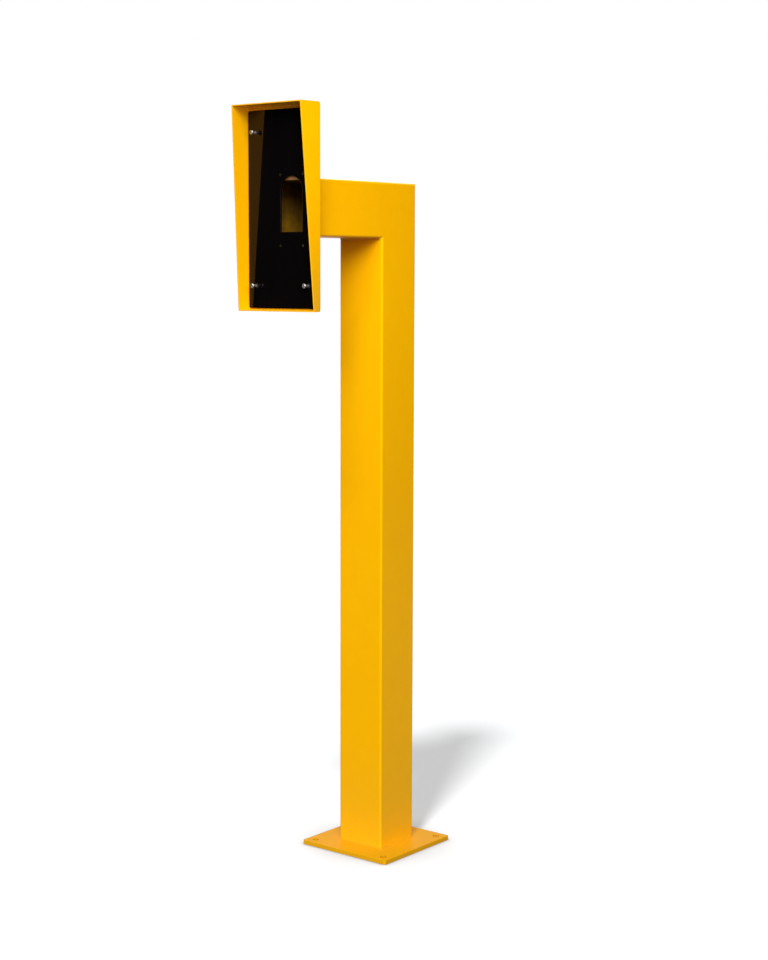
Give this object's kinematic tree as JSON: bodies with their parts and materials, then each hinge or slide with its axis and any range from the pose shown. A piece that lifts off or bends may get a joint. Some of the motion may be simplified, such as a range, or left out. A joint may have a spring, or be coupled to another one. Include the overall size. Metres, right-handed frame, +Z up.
{
  "type": "gate intercom post",
  "caption": "Square steel post with a mitred arm and a raked open hood that holds a black device plate at a driver's window height.",
  "frame": {"origin": "middle of the base plate's underside, on the post's axis, at ground level", "axes": "+Z up along the post; the arm reaches towards -Y and the hood opens towards -Y; +X is on the right seen from the hood's open side"},
  "size_m": [0.2, 0.409, 1.3755],
  "materials": {
    "powder_paint": "satin",
    "device_plate": "gloss",
    "zinc": "satin",
    "black_zinc": "satin"
  },
  "bodies": {
    "root": {"base_plate": "powder_paint", "post_tube": "powder_paint", "arm_tube": "powder_paint", "hood_sheet": "powder_paint", "cheek_left": "powder_paint", "cheek_right": "powder_paint", "device_plate": "device_plate", "rivet_nuts": "black_zinc", "long_screws": "zinc", "foot_weld": "powder_paint", "hood_weld": "powder_paint", "mitre_weld": "powder_paint"}
  },
  "joints": []
}
